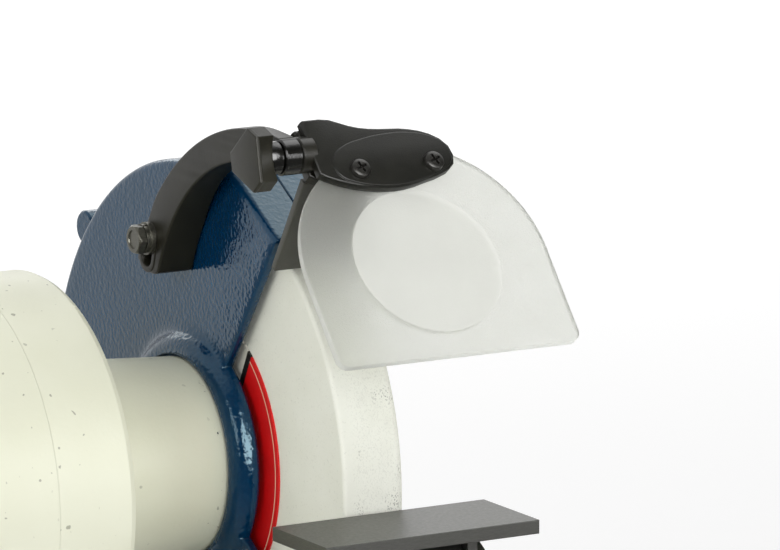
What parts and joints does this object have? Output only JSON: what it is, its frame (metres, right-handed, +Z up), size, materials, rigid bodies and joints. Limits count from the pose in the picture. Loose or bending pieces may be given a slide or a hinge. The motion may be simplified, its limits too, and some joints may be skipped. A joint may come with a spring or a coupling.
{
  "type": "bench grinder",
  "caption": "Double-ended bench grinder with navy wheel guards, frosted eye shields on curved arms, spark deflectors, adjustable tool rests and a cream motor on a pedestal.",
  "frame": {"origin": "centre of the four mounting holes on the underside of the rubber feet, under the middle of the motor", "axes": "+X along the spindle to the operator's right, -Y to the operator, +Z up"},
  "size_m": [0.4396, 0.2553, 0.3123],
  "materials": {
    "cream_enamel": "gloss",
    "navy_enamel": "gloss, light orange peel",
    "zinc_steel": "satin",
    "zinc_sheet": "satin",
    "dark_sheet": "satin",
    "rest_steel": "satin",
    "core_iron": "matte",
    "copper": "satin",
    "black_plastic": "satin",
    "arm_plastic": "satin",
    "can_plastic": "satin",
    "green_plastic": "gloss",
    "red_plastic": "gloss",
    "frosted_shield": "frosted, clear at the lens",
    "white_abrasive": "coarse",
    "label_paper": "matte",
    "rubber": "matte"
  },
  "bodies": {
    "motor": {"base_casting": "cream_enamel", "base_cover": "zinc_sheet", "base_cover_screws": "zinc_steel", "rubber_feet": "rubber", "stator_housing": "cream_enamel", "end_bell_left": "cream_enamel", "end_bell_right": "cream_enamel", "tie_rods": "zinc_steel", "saddle_screws": "zinc_steel", "stator_core": "core_iron", "stator_windings": "copper", "bearing_outer_rings": "zinc_steel", "wave_washer": "zinc_steel", "capacitor": "can_plastic", "cord_gland": "black_plastic", "switch_body": "black_plastic", "guard_screws": "zinc_steel", "cover_screws": "zinc_steel", "deflector_screws": "zinc_steel", "arm_bolts": "zinc_steel", "rest_bracket_bolts": "zinc_steel", "guard_left": "navy_enamel", "guard_right": "navy_enamel", "guard_cover_left": "navy_enamel", "guard_cover_right": "navy_enamel"},
    "rotor": {"shaft": "zinc_steel", "rotor_core": "core_iron", "bearing_inner_rings": "zinc_steel", "blotters": "label_paper", "inner_flanges": "zinc_steel", "outer_flanges": "zinc_steel", "wheel_left": "white_abrasive", "wheel_right": "white_abrasive", "wheel_nut_left": "zinc_steel", "wheel_nut_right": "zinc_steel"},
    "ball_cages": {"bearing_balls": "zinc_steel"},
    "start_button": {"start_button": "green_plastic"},
    "stop_button": {"stop_button": "red_plastic"},
    "deflector_left": {"spark_deflector_left": "dark_sheet"},
    "arm_clamp_left": {"arm_washers_left": "zinc_steel"},
    "arm_left": {"shield_arm_left": "arm_plastic"},
    "shield_left": {"holder_front_left": "black_plastic", "holder_back_left": "black_plastic", "holder_screws_left": "zinc_steel", "eye_shield_left": "frosted_shield"},
    "knob_left": {"clamp_knob_left": "arm_plastic"},
    "rest_bracket_left": {"rest_bracket_left": "rest_steel"},
    "tool_rest_left": {"tool_rest_left": "rest_steel", "rest_pivot_screw_left": "zinc_steel"},
    "deflector_right": {"spark_deflector_right": "dark_sheet"},
    "arm_clamp_right": {"arm_washers_right": "zinc_steel"},
    "arm_right": {"shield_arm_right": "arm_plastic"},
    "shield_right": {"holder_front_right": "black_plastic", "holder_back_right": "black_plastic", "holder_screws_right": "zinc_steel", "eye_shield_right": "frosted_shield"},
    "knob_right": {"clamp_knob_right": "arm_plastic"},
    "rest_bracket_right": {"rest_bracket_right": "rest_steel"},
    "tool_rest_right": {"tool_rest_right": "rest_steel", "rest_pivot_screw_right": "zinc_steel"}
  },
  "joints": [
    {"name": "rotor_spin", "type": "hinge", "parent": "motor", "child": "rotor", "pos_m": [0, 0, 0.175], "axis": [1, 0, 0], "continuous": true},
    {"name": "cage_spin", "type": "hinge", "parent": "motor", "child": "ball_cages", "pos_m": [0, 0, 0.175], "axis": [1, 0, 0], "continuous": true},
    {"name": "deflector_slide_left", "type": "slide", "parent": "motor", "child": "deflector_left", "axis": [0, -0.515, 0.8572], "range_m": [-0.0015, 0.0015]},
    {"name": "arm_swing_left", "type": "hinge", "parent": "motor", "child": "arm_clamp_left", "pos_m": [-0.1284, 0.0037, 0.2562], "axis": [-1, 0, 0], "range_deg": [-4, 20]},
    {"name": "arm_slide_left", "type": "slide", "parent": "arm_clamp_left", "child": "arm_left", "axis": [0, -0.2385, 0.9711], "range_m": [0, 0.007]},
    {"name": "shield_tilt_left", "type": "hinge", "parent": "arm_left", "child": "shield_left", "pos_m": [-0.1318, -0.0912, 0.3006], "axis": [-1, 0, 0], "range_deg": [-10, 60]},
    {"name": "knob_turn_left", "type": "hinge", "parent": "arm_left", "child": "knob_left", "pos_m": [-0.1192, -0.0912, 0.3006], "axis": [-1, 0, 0], "continuous": true},
    {"name": "rest_slide_left", "type": "slide", "parent": "motor", "child": "rest_bracket_left", "axis": [0, -1, 0], "range_m": [-0.0015, 0.02]},
    {"name": "rest_tilt_left", "type": "hinge", "parent": "rest_bracket_left", "child": "tool_rest_left", "pos_m": [-0.1625, -0.118, 0.155], "axis": [1, 0, 0], "range_deg": [-4, 35]},
    {"name": "deflector_slide_right", "type": "slide", "parent": "motor", "child": "deflector_right", "axis": [0, -0.515, 0.8572], "range_m": [-0.0015, 0.0015]},
    {"name": "arm_swing_right", "type": "hinge", "parent": "motor", "child": "arm_clamp_right", "pos_m": [0.1284, 0.0037, 0.2562], "axis": [-1, 0, 0], "range_deg": [-4, 20]},
    {"name": "arm_slide_right", "type": "slide", "parent": "arm_clamp_right", "child": "arm_right", "axis": [0, -0.2385, 0.9711], "range_m": [0, 0.007]},
    {"name": "shield_tilt_right", "type": "hinge", "parent": "arm_right", "child": "shield_right", "pos_m": [0.1318, -0.0912, 0.3006], "axis": [-1, 0, 0], "range_deg": [-10, 60]},
    {"name": "knob_turn_right", "type": "hinge", "parent": "arm_right", "child": "knob_right", "pos_m": [0.1192, -0.0912, 0.3006], "axis": [1, 0, 0], "continuous": true},
    {"name": "rest_slide_right", "type": "slide", "parent": "motor", "child": "rest_bracket_right", "axis": [0, -1, 0], "range_m": [-0.0015, 0.02]},
    {"name": "rest_tilt_right", "type": "hinge", "parent": "rest_bracket_right", "child": "tool_rest_right", "pos_m": [0.1625, -0.118, 0.155], "axis": [1, 0, 0], "range_deg": [-4, 35]},
    {"name": "start_press", "type": "slide", "parent": "motor", "child": "start_button", "axis": [0, 0.9915, -0.1302], "range_m": [0, 0.004], "stiffness_N_per_m": 400, "springref_m": -0.002},
    {"name": "stop_press", "type": "slide", "parent": "motor", "child": "stop_button", "axis": [0, 0.9915, -0.1302], "range_m": [0, 0.004], "stiffness_N_per_m": 400, "springref_m": -0.002}
  ],
  "couplings": [
    {"joint": "cage_spin", "follows": "rotor_spin", "ratio": 0.388}
  ]
}
